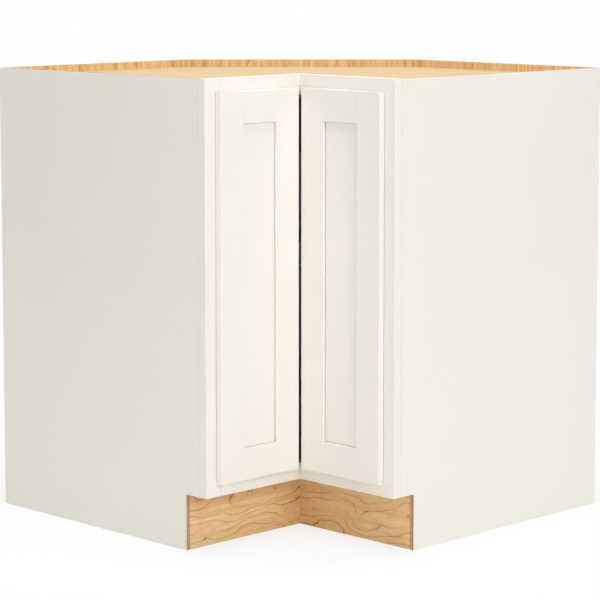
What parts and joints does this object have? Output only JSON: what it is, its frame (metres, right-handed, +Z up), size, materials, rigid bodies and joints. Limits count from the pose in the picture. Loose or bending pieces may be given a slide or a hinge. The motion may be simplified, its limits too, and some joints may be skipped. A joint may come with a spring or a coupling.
{
  "type": "corner carousel cabinet",
  "caption": "L-shaped corner base cabinet with folding shaker doors in its inside corner, a cut-off back corner and revolving round trays on an upright pole.",
  "frame": {"origin": "on the floor, at the middle of the square that the cabinet fills", "axes": "+Z up; the room's corner is at -X, +Y; the right door looks to -Y and the left door to +X"},
  "size_m": [0.8382, 0.8382, 0.8763],
  "materials": {
    "white_paint": "satin painted wood",
    "maple": "clear finished maple plywood",
    "raw_wood": "unfinished softwood",
    "tray_polymer": "moulded satin polymer",
    "nylon": "moulded nylon",
    "zinc_steel": "bright zinc plated steel",
    "clear_bumper": "soft clear bumper"
  },
  "bodies": {
    "cabinet": {"side_panel_right": "white_paint", "side_panel_left": "white_paint", "back_panel_right": "maple", "back_panel_left": "maple", "back_panel_corner": "maple", "bottom_panel": "maple", "top_panel": "maple", "floor_cleat_right": "raw_wood", "floor_cleat_left": "raw_wood", "floor_cleat_corner": "raw_wood", "deck_cleat_right": "raw_wood", "deck_cleat_left": "raw_wood", "deck_cleat_corner": "raw_wood", "kick_board_right": "maple", "kick_board_left": "maple", "stile_right": "white_paint", "stile_left": "white_paint", "top_rail_right": "white_paint", "top_rail_left": "white_paint", "bottom_rail_right": "white_paint", "bottom_rail_left": "white_paint", "corner_block_top": "raw_wood", "corner_block_bottom": "raw_wood", "hinge_arm_lower": "zinc_steel", "hinge_arm_upper": "zinc_steel", "pivot_base": "zinc_steel", "pivot_top_plate": "zinc_steel", "thrust_ring": "nylon"},
    "door_left": {"door_inner_stile_left": "white_paint", "door_outer_stile_left": "white_paint", "door_bottom_rail_left": "white_paint", "door_top_rail_left": "white_paint", "door_panel_left": "white_paint", "hinge_cup_lower": "zinc_steel", "hinge_cup_upper": "zinc_steel", "fold_leaf_left_lower": "zinc_steel", "fold_leaf_left_upper": "zinc_steel", "fold_pin_lower": "zinc_steel", "fold_pin_upper": "zinc_steel"},
    "door_right": {"door_inner_stile_right": "white_paint", "door_outer_stile_right": "white_paint", "door_bottom_rail_right": "white_paint", "door_top_rail_right": "white_paint", "door_panel_right": "white_paint", "fold_leaf_right_lower": "zinc_steel", "fold_leaf_right_upper": "zinc_steel", "bumper_lower": "clear_bumper", "bumper_upper": "clear_bumper"},
    "carousel": {"pole": "zinc_steel", "pole_bush_lower": "nylon", "pole_bush_upper": "nylon", "tray_lower": "tray_polymer", "tray_upper": "tray_polymer", "collar_lower": "zinc_steel", "collar_upper": "zinc_steel", "set_screw_lower": "zinc_steel", "set_screw_upper": "zinc_steel"}
  },
  "joints": [
    {"name": "door_swing", "type": "hinge", "parent": "cabinet", "child": "door_left", "pos_m": [0.1905, -0.3937, 0.49135], "axis": [0, 0, -1], "range_deg": [0, 160]},
    {"name": "door_fold", "type": "hinge", "parent": "door_left", "child": "door_right", "pos_m": [0.174, -0.174, 0.49135], "axis": [0, 0, 1], "range_deg": [0, 80]},
    {"name": "carousel_spin", "type": "hinge", "parent": "cabinet", "child": "carousel", "pos_m": [-0.04369, 0.04369, 0.4], "axis": [0, 0, 1], "continuous": true}
  ],
  "couplings": [
    {"joint": "door_fold", "follows": "door_swing", "ratio": 0.5}
  ]
}
